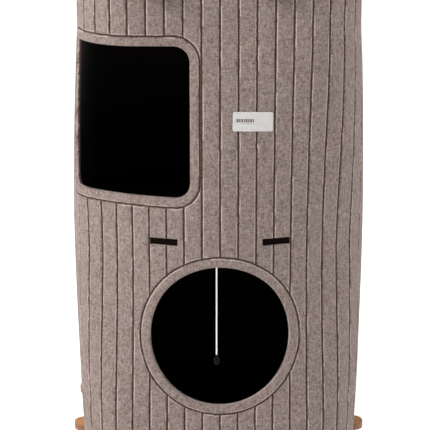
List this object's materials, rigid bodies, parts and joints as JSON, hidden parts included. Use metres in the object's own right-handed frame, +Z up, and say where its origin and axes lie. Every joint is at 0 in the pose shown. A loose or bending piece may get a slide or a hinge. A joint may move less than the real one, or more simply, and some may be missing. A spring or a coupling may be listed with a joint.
{
  "type": "cat tree",
  "caption": "Upright cat tower of thick grooved felt wrapped round plywood plates, with a round entrance, a corner window, an open top lounge and a hanging toy.",
  "frame": {"origin": "on the floor, under the middle of the tower", "axes": "+Z up, -Y out of the front face with the round entrance, +X to the right as seen from the front"},
  "size_m": [0.4302, 0.435, 0.788],
  "materials": {
    "felt": "thick pressed polyester felt, taupe, mottled, engraved; dark on the inside",
    "plywood": "oiled birch plywood, light brown, laser-darkened edges; the faces inside the dens stained dark",
    "steel": "zinc-plated, satin; the seam sleeves inside the dens blackened",
    "rubber": "matt dark rubber",
    "label_cloth": "white coated cloth label",
    "cord": "twisted white cotton cord",
    "toy_felt": "dark brown wool felt",
    "cushion_fabric": "taupe felt-look woven cover"
  },
  "bodies": {
    "tower": {"felt_shell": "felt", "base_plate": "plywood", "middle_shelf": "plywood", "top_plate": "plywood", "closing_strip_lower": "felt", "closing_strip_upper": "felt", "closing_strip_rim": "felt", "seam_screw_lower_1_left": "steel", "seam_screw_lower_1_right": "steel", "seam_screw_lower_2_left": "steel", "seam_screw_lower_2_right": "steel", "seam_screw_upper_1_left": "steel", "seam_screw_upper_1_right": "steel", "seam_screw_upper_2_left": "steel", "seam_screw_upper_2_right": "steel", "seam_screw_rim_1_left": "steel", "seam_screw_rim_1_right": "steel", "seam_sleeve_lower_1_left": "steel", "seam_sleeve_lower_1_right": "steel", "seam_sleeve_lower_2_left": "steel", "seam_sleeve_lower_2_right": "steel", "seam_sleeve_upper_1_left": "steel", "seam_sleeve_upper_1_right": "steel", "seam_sleeve_upper_2_left": "steel", "seam_sleeve_upper_2_right": "steel", "seam_sleeve_rim_1_left": "steel", "seam_sleeve_rim_1_right": "steel", "foot_front_left": "rubber", "foot_front_right": "rubber", "foot_rear_left": "rubber", "foot_rear_right": "rubber", "foot_screw_front_left": "steel", "foot_screw_front_right": "steel", "foot_screw_rear_left": "steel", "foot_screw_rear_right": "steel", "label": "label_cloth", "screw_eye": "steel"},
    "ring": {"toy_ring": "steel"},
    "toy": {"cord_loop": "cord", "cord_knot": "cord", "toy_cord": "cord", "felt_drop": "toy_felt"},
    "cushion": {"top_cushion": "cushion_fabric"}
  },
  "joints": [
    {"name": "ring_swing", "type": "hinge", "parent": "tower", "child": "ring", "pos_m": [-0.004, -0.15, 0.32925], "axis": [0, 1, 0], "range_deg": [-30, 30]},
    {"name": "toy_swing", "type": "hinge", "parent": "ring", "child": "toy", "pos_m": [-0.004, -0.15, 0.3196], "axis": [1, 0, 0], "range_deg": [-40, 40]},
    {"name": "cushion_lift", "type": "slide", "parent": "tower", "child": "cushion", "axis": [0, 0, 1], "range_m": [0, 0.15]}
  ]
}
